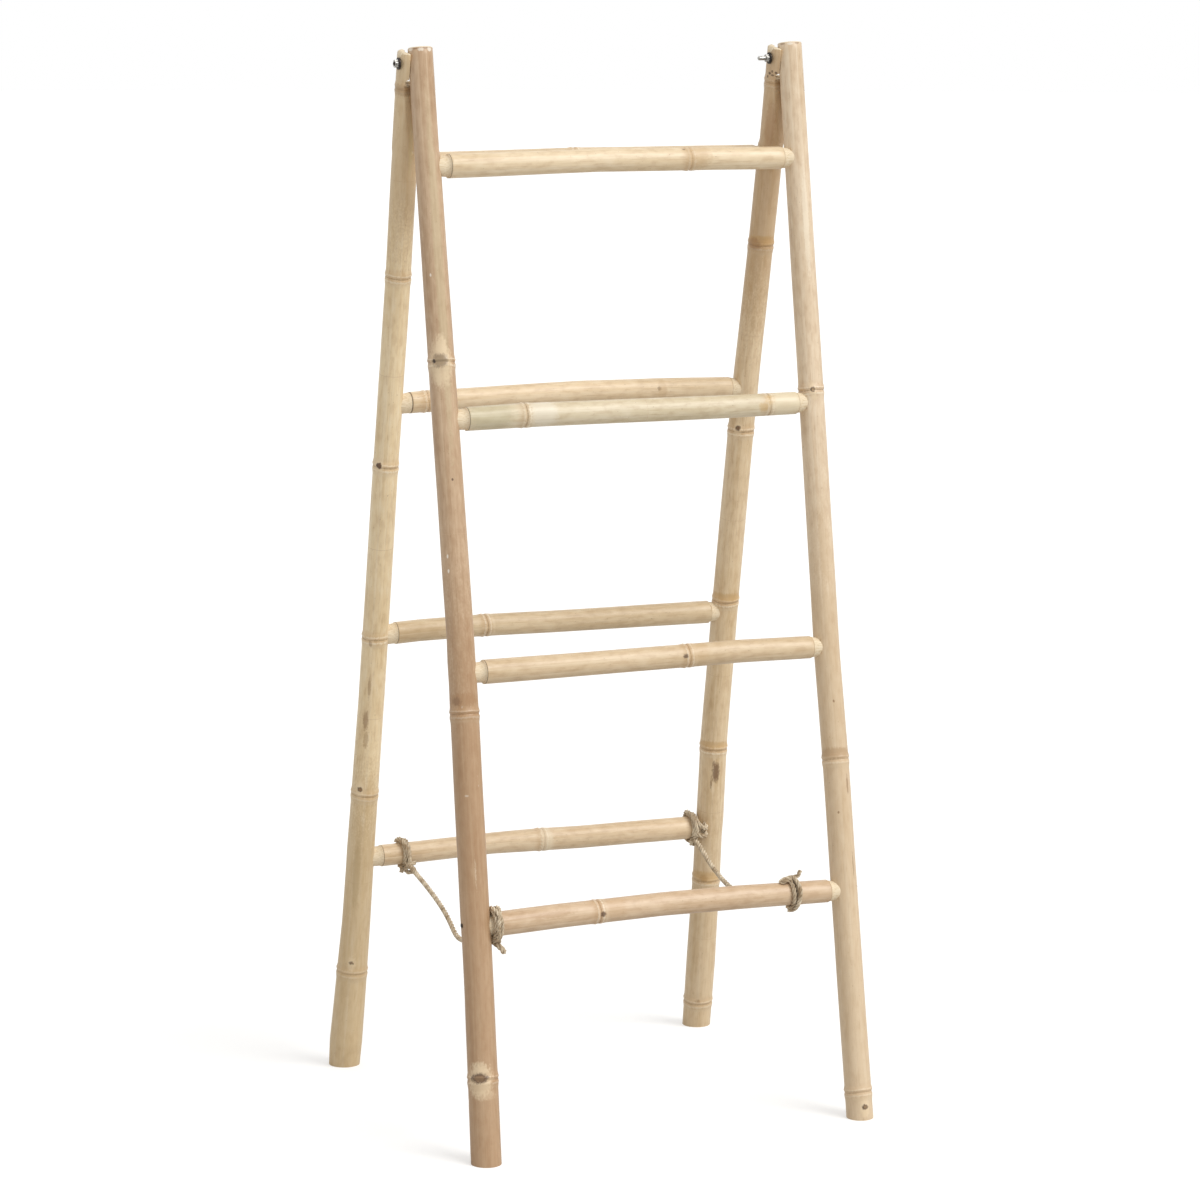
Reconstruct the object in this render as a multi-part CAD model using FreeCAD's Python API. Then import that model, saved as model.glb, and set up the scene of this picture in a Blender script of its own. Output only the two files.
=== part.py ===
import FreeCAD, Part
import math
import os

os.makedirs("parts", exist_ok=True)
Vector = FreeCAD.Vector

# A free-standing bamboo clothes ladder: two ladder frames of poles and rungs, bolted together
# at their tops and kept from sliding apart by two rope stays between the bottom rungs.
# Millimetres and degrees. X runs along the rungs, Y from front to back, Z up from the floor.

# Stance. Each frame is drawn hanging straight down from its hinge line, then swung out.
hinge_height = 1458.0
hinge_y = -7.7
front_lean = 9.8
rear_lean = 10.4
closed_angle = 11.0         # angle left between the frames when their poles meet
front_centre_x = 11.5       # middle of the front frame at the hinge
side_step = 11.0            # the rear frame stands this much further left
foot_drift = -2.9           # both frames lean a little to the left
top_spread = 549.0          # between pole axes at the hinge
front_foot_spread = 560.6
rear_foot_spread = 563.5
front_set = 6.8             # hinge line behind the front pole's axis
rear_set = 4.8              # hinge line in front of the rear pole's axis
overrun = 12.0              # how far a cutter runs past the wood

# Bamboo poles.
pole_diameter = 36.0
pole_wall = 8.8
front_pole_top = 20.0       # wood above the hinge line
rear_pole_top = 15.0
pole_spare = 60.0           # length sawn off at the floor
node_length = 8.0           # half the length of a node's swelling
node_height = 1.1
diaphragm = 6.0             # the wall that closes the culm at a node
edge_round = 1.2            # worn rim of a sawn end
socket_margin = 3.0         # a pole stays level this far past a rung's hole

# A node in section: place along it and height, as shares of node_length and node_height.
node_profile_shares = [(-1.0, 0.0), (-0.25, 1.0), (0.2, 0.3), (0.7, 0.9), (1.7, 0.0)]

# How each culm grew: place from the top or left end as a share of its length, then its
# sideways bend and its girth as shares of its diameter.
front_left_growth_shares = [(0.0, 0.0, 0.93), (0.28, 0.11, 1.0), (0.53, 0.21, 1.04),
                            (0.6, 0.19, 1.08), (0.85, 0.12, 1.11), (1.0, 0.0, 1.15)]
front_right_growth_shares = [(0.0, 0.0, 0.93), (0.32, -0.055, 0.97), (0.57, -0.11, 1.0),
                             (0.67, -0.045, 1.01), (0.85, -0.035, 1.03), (1.0, -0.01, 1.04)]
rear_left_growth_shares = [(0.0, -0.02, 0.985), (0.21, 0.08, 0.965), (0.39, 0.075, 0.98),
                           (0.62, 0.115, 1.02), (0.72, 0.085, 1.06), (0.85, 0.085, 1.13),
                           (0.975, -0.015, 1.31), (1.0, -0.02, 1.24)]
rear_right_growth_shares = [(0.0, 0.0, 0.99), (0.19, -0.13, 0.99), (0.37, -0.31, 1.03),
                            (0.56, -0.35, 1.06), (0.69, -0.34, 1.09), (0.83, -0.16, 1.12),
                            (0.93, -0.075, 1.19), (1.0, -0.03, 1.15)]
front_left_node_shares = [0.281, 0.596, 0.923]
front_right_node_shares = [0.322, 0.665, 0.975]
rear_left_node_shares = [0.032, 0.207, 0.388, 0.557, 0.715, 0.899]
rear_right_node_shares = [0.032, 0.188, 0.371, 0.544, 0.698, 0.838, 0.972]

# Rungs: thinner culms whose ends are cut down to tenons and glued into blind holes.
rung_diameter = 32.0
rung_wall = 6.5
rung_node_height = 0.8
first_rung = 140.0          # below the hinge line, along the frame
front_rung_pitch = 340.8
rear_rung_pitch = 339.5
tenon_diameter = 24.8
tenon_shoulder_diameter = 29.0
tenon_bare_left = 10.5      # bare tenon between the pole and the rung's shoulder
tenon_bare_right = 7.0
tenon_past_axis = 4.0       # how far the tenon goes beyond the pole's axis
tenon_clearance = 0.1
shoulder_cut = 0.6          # length of the knife cut at the left shoulder
shoulder_round = 2.0        # length of the worn edge at the right shoulder

front_rung_growth_shares = [
    [(0.0, 0.0, 1.04), (0.19, 0.035, 1.015), (0.45, 0.1, 0.99), (0.7, 0.06, 0.99),
     (1.0, 0.0, 0.97)],
    [(0.0, 0.0, 1.0), (0.2, 0.05, 1.03), (0.42, 0.03, 1.02), (0.75, -0.02, 1.0),
     (1.0, 0.0, 0.96)],
    [(0.0, 0.0, 1.04), (0.26, 0.015, 1.02), (0.59, 0.045, 1.0), (0.75, 0.065, 1.0),
     (1.0, 0.0, 0.97)],
    [(0.0, 0.0, 1.05), (0.22, 0.11, 1.03), (0.5, 0.17, 1.01), (0.7, 0.13, 1.03),
     (1.0, 0.0, 0.98)]]
rear_rung_growth_shares = [
    [(0.0, 0.0, 0.97), (0.5, 0.06, 0.97), (1.0, 0.0, 0.95)],
    [(0.0, 0.0, 0.93), (0.1, 0.06, 0.93), (0.3, 0.115, 0.955), (0.53, 0.165, 0.965),
     (0.75, 0.11, 0.965), (1.0, 0.0, 0.95)],
    [(0.0, 0.0, 0.97), (0.12, 0.09, 0.97), (0.3, 0.12, 0.99), (0.5, 0.06, 0.98),
     (1.0, -0.01, 1.02)],
    [(0.0, 0.0, 0.96), (0.16, 0.035, 0.97), (0.37, 0.12, 0.97), (0.5, 0.09, 1.03),
     (0.62, 0.03, 1.03), (1.0, -0.02, 1.04)]]
front_rung_node_shares = [[0.695], [0.204], [0.602], [0.0, 0.317, 1.0]]
rear_rung_node_shares = [[0.45], [0.095], [0.3], [0.505]]

# Nails through the poles' outer walls into the closed tenons of the bottom front rung.
nail_diameter = 2.2
nail_head_diameter = 5.5
nail_head_height = 1.2
nail_length = 30.0
nail_rise = 3.5             # above the rung's axis
nail_fit = 0.05
nail_seat_depth = 0.3       # flat pared on the pole under a nail's head
nail_seat_margin = 0.3
nail_point = 3.0

# Hinge joints: the rear pole's top is cut to a flat tongue that lies against the front pole.
tongue_drop = 29.0          # saw cut below the hinge line
stop_hole_diameter = 9.0    # drilled across the inner corner, where the two cuts meet
tongue_bevel_width = 3.4
tongue_bevel_height = 9.0
relief_turn = 19.0          # the flats below the tongue face this far round from the front
relief_clearance = 0.5
relief_lead = 3.0           # the front pole's flat starts this far above the saw cut
relief_length = 118.0
relief_offset = 2.5         # from the hinge line to the plane that parts the two flats

# Hinge bolts, nuts and washers.
bolt_diameter = 6.0
bolt_fit = 0.05
left_bolt_length = 47.4
right_bolt_length = 57.0
bolt_end_round = 1.5
head_diameter = 11.0
head_height = 3.5
head_edge = 1.0
head_sink = 6.5             # the head's seat below the pole's surface
head_fit = 0.5
nut_width = 10.0            # across flats
nut_height = 5.0
nut_chamfer = 0.6
washer_diameter = 16.0
washer_thickness = 1.6
washer_hole = 6.4
nut_seat_depth = 0.4        # flat pared on the rear pole under the nut's washer
spacer_seat_depth = 1.0     # flat pared on the front pole under the spacer washer
seat_margin = 0.8
face_fit = 0.05

# Rope stays, and the lashings that hold them to the bottom rungs.
rope_diameter = 6.5
rope_lift = 0.3             # the lashing's turns stand this far off the rung
lashing_pitch = 7.0
lashing_turns = 2
lashing_steps = 2           # arcs in pairs per turn
gap_samples = 24            # points per arc when the gap between turns is measured
tail_length = 9.0
front_left_lashing_inset = 30.5     # from the pole's axis to the lashing's middle
front_right_lashing_inset = 80.5
rear_left_lashing_inset = 66.2
rear_right_lashing_inset = 31.2
left_leave_angle = 30.0     # where a stay leaves the rear lashing, below level
right_leave_angle = 38.0
left_arrive_angle = 70.0    # and where it reaches the front one
right_arrive_angle = 25.0
left_leave_gap = 1.5        # from the middle of a stay's cut end to the lashing's skin
right_leave_gap = 0.5
left_arrive_gap = 3.4
right_arrive_gap = 1.3
corner_share = 0.45         # part of the shorter run that a bend takes up

# Each stay from rear to front: place along it and droop, as shares of its straight distance.
left_stay_shares = [(0.055, 0.006), (0.12, 0.0125), (0.2, 0.0195), (0.28, 0.029), (0.36, 0.041),
                    (0.435, 0.0565), (0.5, 0.0775), (0.55, 0.102), (0.6, 0.108), (0.66, 0.0985),
                    (0.73, 0.0785), (0.81, 0.0505), (0.89, 0.0265), (0.95, 0.0112)]
right_stay_shares = [(0.05, 0.012), (0.1, 0.028), (0.15, 0.047), (0.2, 0.0615), (0.26, 0.075),
                     (0.33, 0.089), (0.41, 0.098), (0.5, 0.095), (0.6, 0.079), (0.7, 0.059),
                     (0.79, 0.039), (0.87, 0.0225), (0.94, 0.0095)]

origin = Vector(0, 0, 0)
across = Vector(1, 0, 0)
up = Vector(0, 0, 1)
down = Vector(0, 0, -1)
half_turn = 180.0
full_turn = 360.0


def between(table, share, column):
    """Read a table of shares at any place, in straight lines between its rows."""
    if share <= table[0][0]:
        return table[0][column]
    for low, high in zip(table, table[1:]):
        if share <= high[0]:
            part = (share - low[0]) / (high[0] - low[0])
            return low[column] + part * (high[column] - low[column])
    return table[-1][column]


def ring(centre, axis, radius):
    return Part.Wire(Part.makeCircle(radius, centre, axis))


def barrel(steps, place, axis):
    """A solid through round sections, given as (distance along the culm, radius)."""
    return Part.makeLoft([ring(place(d), axis, r) for d, r in steps], True, True)


def lathe(outline):
    """A solid turned about the X axis from (x, radius) corners."""
    corners = [Vector(x, 0, r) for x, r in outline]
    return Part.Face(Part.makePolygon(corners + corners[:1])).revolve(origin, across, full_turn)


def swelling(distance, nodes, height):
    """How far the nodes stand out at a distance along a culm."""
    for node in nodes:
        share = (distance - node) / node_length
        if node_profile_shares[0][0] <= share <= node_profile_shares[-1][0]:
            return between(node_profile_shares, share, 1) * height
    return 0.0


def stations(start, end, table, nodes, length, levels):
    """Places along a culm where its outline turns: its nodes, level parts and growth rows."""
    places = [start, end]
    for low, middle, high in levels:
        places += [low, high]
    for node in nodes:
        places += [node + share * node_length for share, height in node_profile_shares]
    for row in table:
        distance = row[0] * length
        level = any(low <= distance <= high for low, middle, high in levels)
        if not level and all(abs(p - distance) > 2 * node_length for p in places):
            places.append(distance)
    return sorted(p for p in places if start <= p <= end)


def hollows(start, end, nodes, bore, place, axis, levels):
    """The empty chambers between the diaphragms, open at both ends of the culm."""
    faces = [start - overrun]
    for node in nodes:
        faces += [node - diaphragm / 2, node + diaphragm / 2]
    faces.append(end + overrun)
    chambers = []
    for low, high in zip(faces[0::2], faces[1::2]):
        turns = [d for level in levels for d in (level[0], level[2]) if low < d < high]
        steps = [(d, bore(d)) for d in sorted([low, high] + turns)]
        chambers.append(barrel(steps, place, axis))
    return chambers


def box(x_low, x_high, y_low, y_high, z_low, z_high):
    return Part.makeBox(x_high - x_low, y_high - y_low, z_high - z_low,
                        Vector(x_low, y_low, z_low))


def along_x(radius, x_low, x_high):
    return Part.makeCylinder(radius, x_high - x_low, Vector(x_low, 0, 0), across)


def swing(shape, lean):
    """Swing a piece drawn below the hinge line out to its frame's lean."""
    moved = shape.copy()
    moved.rotate(origin, across, lean)
    moved.translate(Vector(0, hinge_y, hinge_height))
    return moved


class Pole:
    """One culm from above the hinge down to the floor, as it hangs from the hinge line."""

    def __init__(self, side, centre_x, foot_spread, set_back, lean, top, table, node_shares):
        self.top = top
        self.top_x = centre_x + side * top_spread / 2
        self.foot_x = centre_x + foot_drift + side * foot_spread / 2
        self.y = set_back
        self.table = table
        tilt = math.radians(lean)
        self.below = hinge_height / math.cos(tilt) + abs(set_back) * math.tan(tilt)
        self.length = top + self.below
        self.nodes = [share * self.length for share in node_shares]
        self.levels = [(0, top, top + relief_length)]
        self.cutters = []

    def settled(self, distance):
        """Near the hinge and at each rung the pole stays dead straight and of one thickness."""
        for low, middle, high in self.levels:
            if low <= distance <= high:
                return middle
        return distance

    def radius(self, distance):
        share = self.settled(distance) / self.length
        return between(self.table, share, 2) * pole_diameter / 2

    def bore(self, distance):
        return self.radius(distance) - pole_wall

    def x(self, below_hinge):
        share = self.settled(below_hinge + self.top) / self.length
        bend = between(self.table, share, 1) * pole_diameter
        return self.top_x + (self.foot_x - self.top_x) * share + bend

    def place(self, distance):
        return Vector(self.x(distance - self.top), self.y, self.top - distance)

    def wood(self):
        end = self.length + pole_spare
        steps = [(0, self.radius(0) - edge_round)]
        for d in stations(edge_round, end, self.table, self.nodes, self.length, self.levels):
            steps.append((d, self.radius(d) + swelling(d, self.nodes, node_height)))
        solid = barrel(steps, self.place, down)
        solid = solid.cut(hollows(0, end, self.nodes, self.bore, self.place, down, self.levels))
        return solid.cut(self.cutters)


class Rung:
    """One thin culm across a frame, with a tenon at each end."""

    def __init__(self, left, right, below_hinge, table, node_shares):
        flat = tenon_diameter / 2 + socket_margin
        for pole in (left, right):
            middle = pole.top + below_hinge
            pole.levels.append((middle - flat, middle, middle + flat))
        self.y = left.y
        self.below = below_hinge
        self.start = left.x(below_hinge)
        self.length = right.x(below_hinge) - self.start
        self.table = table
        self.nodes = [share * self.length for share in node_shares]
        self.left_skin = left.radius(left.top + below_hinge)
        self.right_skin = right.radius(right.top + below_hinge)
        self.cutters = []
        left.cutters.append(self.socket(0, 1))
        right.cutters.append(self.socket(self.length, -1))

    def radius(self, distance):
        return between(self.table, distance / self.length, 2) * rung_diameter / 2

    def bore(self, distance):
        return self.radius(distance) - rung_wall

    def place(self, distance):
        """A place on the culm's axis; dead level inside the poles, where the tenons sit."""
        free = min(max(distance, self.left_skin), self.length - self.right_skin)
        if free < distance:
            free = self.length
        elif free > distance:
            free = 0
        rise = between(self.table, free / self.length, 1) * rung_diameter
        return Vector(self.start + distance, self.y, rise - self.below)

    def wood(self):
        low = self.left_skin + tenon_bare_left
        high = self.length - self.right_skin - tenon_bare_right
        thin = tenon_diameter / 2
        steps = [(-tenon_past_axis, thin), (self.left_skin - tenon_clearance, thin),
                 (low, tenon_shoulder_diameter / 2), (low + shoulder_cut, self.radius(low))]
        last = high - shoulder_round
        inner = [node for node in self.nodes if low < node < high]
        for d in stations(low + node_length, last, self.table, inner, self.length, []):
            steps.append((d, self.radius(d) + swelling(d, inner, rung_node_height)))
        steps += [(high, tenon_shoulder_diameter / 2),
                  (self.length - self.right_skin + tenon_clearance, thin),
                  (self.length + tenon_past_axis, thin)]
        solid = barrel(steps, self.place, across)
        chambers = hollows(-tenon_past_axis, self.length + tenon_past_axis, self.nodes,
                           self.bore, self.place, across, [])
        return solid.cut(chambers + self.cutters)

    def socket(self, distance, inward):
        """The blind hole in a pole for one tenon; inward is 1 from the left pole."""
        depth = tenon_past_axis + tenon_clearance
        bottom = self.place(distance) - across * (inward * depth)
        return Part.makeCylinder((tenon_diameter + tenon_clearance) / 2,
                                 depth + pole_diameter, bottom, across * inward)


front_left = Pole(-1, front_centre_x, front_foot_spread, -front_set, front_lean,
                  front_pole_top, front_left_growth_shares, front_left_node_shares)
front_right = Pole(1, front_centre_x, front_foot_spread, -front_set, front_lean,
                   front_pole_top, front_right_growth_shares, front_right_node_shares)
rear_centre_x = front_centre_x - side_step
rear_left = Pole(-1, rear_centre_x, rear_foot_spread, rear_set, rear_lean,
                 rear_pole_top, rear_left_growth_shares, rear_left_node_shares)
rear_right = Pole(1, rear_centre_x, rear_foot_spread, rear_set, rear_lean,
                  rear_pole_top, rear_right_growth_shares, rear_right_node_shares)

front_rungs = []
rear_rungs = []
for number, table in enumerate(front_rung_growth_shares):
    front_rungs.append(Rung(front_left, front_right, first_rung + number * front_rung_pitch,
                            table, front_rung_node_shares[number]))
for number, table in enumerate(rear_rung_growth_shares):
    rear_rungs.append(Rung(rear_left, rear_right, first_rung + number * rear_rung_pitch,
                           table, rear_rung_node_shares[number]))


# The nails of the bottom front rung, one through each front pole.
bottom_rung = front_rungs[-1]
nails = []
for distance, skin, inward in ((0, bottom_rung.left_skin, 1),
                               (bottom_rung.length, bottom_rung.right_skin, -1)):
    shank = nail_diameter / 2
    outline = [(-nail_head_height, 0), (-nail_head_height, nail_head_diameter / 2),
               (0, nail_head_diameter / 2), (0, shank),
               (nail_length - nail_point, shank), (nail_length, 0)]
    hole = along_x(shank + nail_fit, -overrun, nail_length)
    hole = hole.fuse(along_x(nail_head_diameter / 2 + nail_seat_margin, -overrun, 0))
    nail = lathe(outline)
    for piece in (nail, hole):
        if inward < 0:
            piece.rotate(origin, up, half_turn)
        piece.translate(bottom_rung.place(distance) + up * nail_rise
                        - across * inward * (skin - nail_seat_depth))
    nails.append(nail)
    bottom_rung.cutters.append(hole)
    (front_left if inward > 0 else front_right).cutters.append(hole)


def dividing_cutter(rear, side, top):
    """The wood past the plane that parts the two poles of one side when they are closed.

    side is 1 for the rear pole, which loses what is in front of the plane, -1 for the front."""
    reach = 2 * pole_diameter
    block = box(0, reach, -reach, reach, -relief_length - reach, 0)
    block.rotate(origin, up, relief_turn - side * half_turn / 2)
    turn = math.radians(relief_turn)
    normal = Vector(math.sin(turn), -math.cos(turn), 0)
    block.translate(across * rear.x(0) + normal * (relief_offset - side * relief_clearance / 2))
    block.rotate(origin, across, -side * closed_angle / 2)
    middle = rear.x(0)
    return block.common(box(middle - reach, middle + reach, -reach, reach,
                            -relief_length, -top))


def hinge(front, rear, bolt_length):
    """One hinge: cuts both poles for it and returns its bolt, nut and two washers."""
    front_radius = front.radius(front.top)
    rear_radius = rear.radius(rear.top)
    head_seat = front.x(0) + front_radius - head_sink
    spacer_seat = front.x(0) - front_radius + spacer_seat_depth
    tongue_face = spacer_seat - washer_thickness - face_fit
    nut_seat = rear.x(0) - rear_radius + nut_seat_depth
    reach = 2 * pole_diameter
    left = front.x(0) - reach
    right = front.x(0) + reach
    flat = washer_diameter / 2 + seat_margin
    stop = stop_hole_diameter / 2
    hole = along_x(bolt_diameter / 2 + bolt_fit, left, right)

    front.cutters += [hole, along_x(head_diameter / 2 + head_fit, head_seat, right),
                      box(left, spacer_seat, -flat, flat, -flat, flat),
                      dividing_cutter(rear, -1, tongue_drop - relief_lead)]

    corner = rear.x(0) - rear_radius
    bevel = [Vector(corner, -reach, rear.top - tongue_bevel_height),
             Vector(corner + tongue_bevel_width, -reach, rear.top),
             Vector(corner, -reach, rear.top + overrun),
             Vector(corner - overrun, -reach, rear.top)]
    bevel = Part.Face(Part.makePolygon(bevel + bevel[:1])).extrude(Vector(0, 2 * reach, 0))
    rear.cutters += [hole, bevel, box(left, nut_seat, -flat, flat, -flat, flat),
                     box(tongue_face, right, -reach, reach, -tongue_drop, rear.top + overrun),
                     Part.makeCylinder(stop, 2 * reach, Vector(tongue_face, -reach,
                                                               stop - tongue_drop),
                                       Vector(0, 1, 0)),
                     dividing_cutter(rear, 1, tongue_drop)]

    tip = head_seat - bolt_length
    shank = bolt_diameter / 2
    head = head_diameter / 2
    crown = head_seat + head_height
    bolt = lathe([(tip, 0), (tip, shank - bolt_end_round), (tip + bolt_end_round, shank),
                  (head_seat, shank), (head_seat, head), (crown - head_edge, head),
                  (crown, head - head_edge), (crown, 0)])

    washers = []
    for face in (spacer_seat, nut_seat - face_fit):
        washer = along_x(washer_diameter / 2, face - washer_thickness, face)
        washers.append(washer.cut(along_x(washer_hole / 2, left, right)))

    nut_right = nut_seat - face_fit - washer_thickness
    nut_left = nut_right - nut_height
    corner_radius = nut_width / 2 / math.cos(math.pi / 6)
    corners = []
    for step in range(7):
        angle = step * math.pi / 3
        corners.append(Vector(nut_left, corner_radius * math.cos(angle),
                              corner_radius * math.sin(angle)))
    nut = Part.Face(Part.makePolygon(corners)).extrude(across * nut_height)
    turned = corner_radius - nut_chamfer
    nut = nut.common(lathe([(nut_left, 0), (nut_left, turned),
                            (nut_left + nut_chamfer, corner_radius),
                            (nut_right - nut_chamfer, corner_radius),
                            (nut_right, turned), (nut_right, 0)]))
    nut = nut.cut(along_x(bolt_diameter / 2 + bolt_fit, left, right))
    return bolt, nut, washers


left_bolt, left_nut, left_washers = hinge(front_left, rear_left, left_bolt_length)
right_bolt, right_nut, right_washers = hinge(front_right, rear_right, right_bolt_length)


def bend(start, way, end):
    """An arc from start, setting out along way, to end; and the direction it arrives in."""
    chord = end - start
    line = chord * (1 / chord.Length)
    lean = way - line * way.dot(line)
    half = math.acos(min(1.0, way.dot(line)))
    lift = lean * (1 / lean.Length) * (chord.Length / 2 * math.tan(half / 2))
    return Part.Arc(start, start + chord / 2 + lift, end).toShape()


def arc_pair(start, start_way, end, end_way):
    """Two arcs that carry one point and direction smoothly into the next."""
    chord = end - start
    reach = chord.dot(start_way + end_way)
    spread = 2 * (1 - start_way.dot(end_way))
    arm = (math.sqrt(reach * reach + spread * chord.dot(chord)) - reach) / spread
    first = start + start_way * arm
    last = end - end_way * arm
    middle = (first + last) / 2
    way = (last - first) * (1 / (last - first).Length)
    return [bend(start, start_way, middle), bend(middle, way, end)]


def straight(start, end):
    return Part.LineSegment(start, end).toShape()


def tube(edges, start, way, diameter):
    path = Part.Wire(edges)
    return path.makePipeShell([ring(start, way, diameter / 2)], True, False)


def least_gap(edges, diameter):
    """The smallest distance between the skins of a wound rope's neighbouring turns."""
    points = []
    for edge in edges:
        points += edge.discretize(gap_samples)[1:]
    along = [0.0]
    for near, far in zip(points, points[1:]):
        along.append(along[-1] + (far - near).Length)
    least = min((points[i] - points[j]).Length for i in range(len(points)) for j in range(i)
                if along[i] - along[j] > 3 * diameter)
    return least - diameter


class Lashing:
    """Turns of rope round a rung, with a short tail at each end."""

    def __init__(self, rung, distance, lean):
        self.centre = rung.place(distance)
        self.radius = rung.radius(distance) + rope_lift + rope_diameter / 2
        self.lean = lean

    def wound(self):
        count = lashing_turns * lashing_steps
        stops = []
        for step in range(count + 1):
            turn = math.pi - step * 2 * math.pi / lashing_steps
            place = Vector((step / count - 0.5) * lashing_turns * lashing_pitch,
                           self.radius * math.cos(turn), self.radius * math.sin(turn))
            way = Vector(lashing_pitch / 2 / math.pi, self.radius * math.sin(turn),
                         -self.radius * math.cos(turn))
            stops.append((self.centre + place, way * (1 / way.Length)))
        first, first_way = stops[0]
        last, last_way = stops[-1]
        edges = [straight(first - first_way * tail_length, first)]
        for near, far in zip(stops, stops[1:]):
            edges += arc_pair(near[0], near[1], far[0], far[1])
        edges.append(straight(last, last + last_way * tail_length))
        rope = tube(edges, first - first_way * tail_length, first_way, rope_diameter)
        print("lashing radius", round(self.radius, 2), "least gap between its turns",
              round(least_gap(edges, rope_diameter), 2))
        return swing(rope, self.lean)

    def hold(self, toward, below_level, gap):
        """Where a stay's cut end meets the lashing; toward is -1 on the front side."""
        middle = Part.Vertex(self.centre)
        point = swing(middle, self.lean).Point
        angle = math.radians(below_level)
        reach = self.radius + rope_diameter / 2 + gap
        return point + Vector(0, toward * math.cos(angle), -math.sin(angle)) * reach


def stay(start, end, rows):
    """A rope that droops between two points, in straight runs with a bend at each corner."""
    span = end - start
    corners = [start]
    for along, droop in rows:
        corners.append(start + span * along - up * (droop * span.Length))
    corners.append(end)
    edges = []
    here = start
    tightest = span.Length
    for before, corner, after in zip(corners, corners[1:], corners[2:]):
        arriving = corner - before
        leaving = after - corner
        trim = corner_share * min(arriving.Length, leaving.Length)
        way_in = arriving * (1 / arriving.Length)
        way_out = leaving * (1 / leaving.Length)
        edges.append(straight(here, corner - way_in * trim))
        edges.append(bend(corner - way_in * trim, way_in, corner + way_out * trim))
        tightest = min(tightest, trim / math.tan(way_in.getAngle(way_out) / 2))
        here = corner + way_out * trim
    edges.append(straight(here, end))
    length = sum(edge.Length for edge in edges)
    rope = tube(edges, start, corners[1] - start, rope_diameter)
    section = math.pi * rope_diameter ** 2 / 4
    print("stay length", round(length, 1), "tightest bend", round(tightest, 1),
          "volume over section times length", round(rope.Volume / section / length, 4))
    return rope


front_left_lashing = Lashing(bottom_rung, front_left_lashing_inset, -front_lean)
front_right_lashing = Lashing(bottom_rung, bottom_rung.length - front_right_lashing_inset,
                              -front_lean)
rear_left_lashing = Lashing(rear_rungs[-1], rear_left_lashing_inset, rear_lean)
rear_right_lashing = Lashing(rear_rungs[-1], rear_rungs[-1].length - rear_right_lashing_inset,
                             rear_lean)
left_stay = stay(rear_left_lashing.hold(-1, left_leave_angle, left_leave_gap),
                 front_left_lashing.hold(1, left_arrive_angle, left_arrive_gap),
                 left_stay_shares)
right_stay = stay(rear_right_lashing.hold(-1, right_leave_angle, right_leave_gap),
                  front_right_lashing.hold(1, right_arrive_angle, right_arrive_gap),
                  right_stay_shares)

ground = box(-hinge_height, hinge_height, -hinge_height, hinge_height, -hinge_height, 0)
pieces = {"left_rope": left_stay, "right_rope": right_stay}
for name, pole, lean in (("front_left_pole", front_left, -front_lean),
                         ("front_right_pole", front_right, -front_lean),
                         ("rear_left_pole", rear_left, rear_lean),
                         ("rear_right_pole", rear_right, rear_lean)):
    pieces[name] = swing(pole.wood(), lean).cut(ground)
for number in range(len(front_rungs)):
    pieces["front_rung_%d" % (number + 1)] = swing(front_rungs[number].wood(), -front_lean)
    pieces["rear_rung_%d" % (number + 1)] = swing(rear_rungs[number].wood(), rear_lean)
pieces["left_hinge_bolt"] = swing(left_bolt, -front_lean)
pieces["right_hinge_bolt"] = swing(right_bolt, -front_lean)
pieces["hinge_nuts"] = swing(Part.makeCompound([left_nut, right_nut]), -front_lean)
pieces["hinge_washers"] = swing(Part.makeCompound(left_washers + right_washers), -front_lean)
pieces["rung_nails"] = swing(Part.makeCompound(nails), -front_lean)
pieces["front_left_lashing"] = front_left_lashing.wound()
pieces["front_right_lashing"] = front_right_lashing.wound()
pieces["rear_left_lashing"] = rear_left_lashing.wound()
pieces["rear_right_lashing"] = rear_right_lashing.wound()

for name, shape in pieces.items():
    print(name, len(shape.Solids), "solids", round(shape.Volume), "valid", shape.isValid())
    shape.exportStep("parts/%s.step" % name)
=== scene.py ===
import math
import random

import bmesh
import bpy
from mathutils import Euler, Matrix, Vector, noise


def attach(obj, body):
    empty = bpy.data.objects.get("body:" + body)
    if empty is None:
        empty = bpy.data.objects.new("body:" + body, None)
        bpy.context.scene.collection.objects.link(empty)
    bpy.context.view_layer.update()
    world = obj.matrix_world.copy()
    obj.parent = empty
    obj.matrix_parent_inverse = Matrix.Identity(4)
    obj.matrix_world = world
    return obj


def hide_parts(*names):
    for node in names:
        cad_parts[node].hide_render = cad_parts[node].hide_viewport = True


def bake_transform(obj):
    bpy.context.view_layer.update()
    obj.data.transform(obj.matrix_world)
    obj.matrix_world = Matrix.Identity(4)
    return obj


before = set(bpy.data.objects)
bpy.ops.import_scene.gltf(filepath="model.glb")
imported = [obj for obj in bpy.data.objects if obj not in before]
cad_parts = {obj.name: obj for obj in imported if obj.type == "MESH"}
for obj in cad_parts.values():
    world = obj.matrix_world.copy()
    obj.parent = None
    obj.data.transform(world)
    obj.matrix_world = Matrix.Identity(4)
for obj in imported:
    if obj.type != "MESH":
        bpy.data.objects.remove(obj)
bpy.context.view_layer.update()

# The camera stands in front of the ladder and to its left, a little above the top, with a long
# lens, as the photograph was taken.
camera_place = Vector((-2.2493, -5.2955, 1.6889))
camera_turn = math.radians(23.068)
camera_dip = math.radians(9.668)
camera_roll = math.radians(0.131)
lens = bpy.data.cameras.new("camera")
lens.sensor_width = 36.0
lens.lens = 125.16
lens.clip_end = 60.0
camera = bpy.data.objects.new("camera", lens)
bpy.context.scene.collection.objects.link(camera)
aim = Euler((math.pi / 2 - camera_dip, 0, -camera_turn)).to_matrix().to_4x4()
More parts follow.
